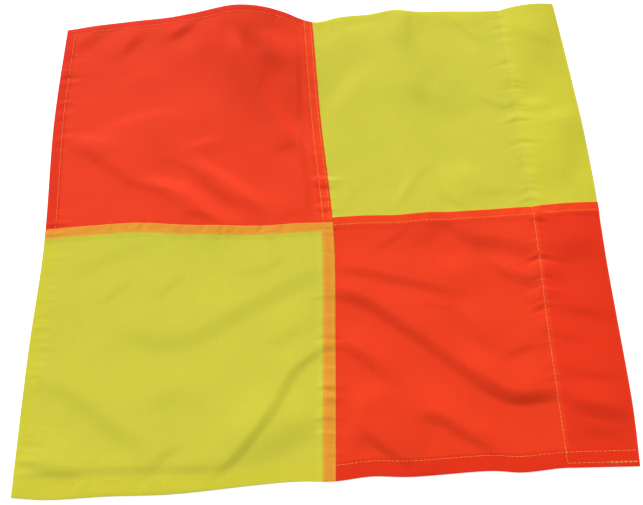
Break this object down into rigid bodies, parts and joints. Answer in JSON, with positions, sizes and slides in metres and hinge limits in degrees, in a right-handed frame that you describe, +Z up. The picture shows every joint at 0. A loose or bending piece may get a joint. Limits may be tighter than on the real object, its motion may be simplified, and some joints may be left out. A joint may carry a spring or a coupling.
{
  "type": "quartered marker flag",
  "caption": "Square cloth marker flag, laid flat, with quarters in orange-red and fluorescent yellow, felled seams, narrow hems and a pole sleeve along the hoist, closed at its lower end.",
  "frame": {"origin": "on the surface that the flag lies on, under the middle of the flag", "axes": "+Z up off the surface, +X towards the hoist and its sleeve, +Y towards the flag's top edge and the sleeve's mouth"},
  "size_m": [0.4, 0.4, 0.0122],
  "materials": {
    "orange_cloth": "fluorescent orange-red woven nylon, soft satin",
    "yellow_cloth": "fluorescent yellow woven nylon, soft satin, thin enough for what lies under it to show",
    "thread": "pale fluorescent yellow polyester sewing thread"
  },
  "bodies": {
    "root": {"upper_fly_panel": "orange_cloth", "upper_hoist_panel": "yellow_cloth", "lower_fly_panel": "yellow_cloth", "lower_hoist_panel": "orange_cloth", "upper_seam_edge_needle_thread": "thread", "upper_seam_edge_bobbin_thread": "thread", "upper_seam_inner_needle_thread": "thread", "upper_seam_inner_bobbin_thread": "thread", "lower_seam_edge_needle_thread": "thread", "lower_seam_edge_bobbin_thread": "thread", "lower_seam_inner_needle_thread": "thread", "lower_seam_inner_bobbin_thread": "thread", "cross_seam_needle_thread": "thread", "cross_seam_bobbin_thread": "thread", "hem_needle_thread": "thread", "hem_bobbin_thread": "thread", "sleeve_needle_thread": "thread", "sleeve_bobbin_thread": "thread"}
  },
  "joints": []
}
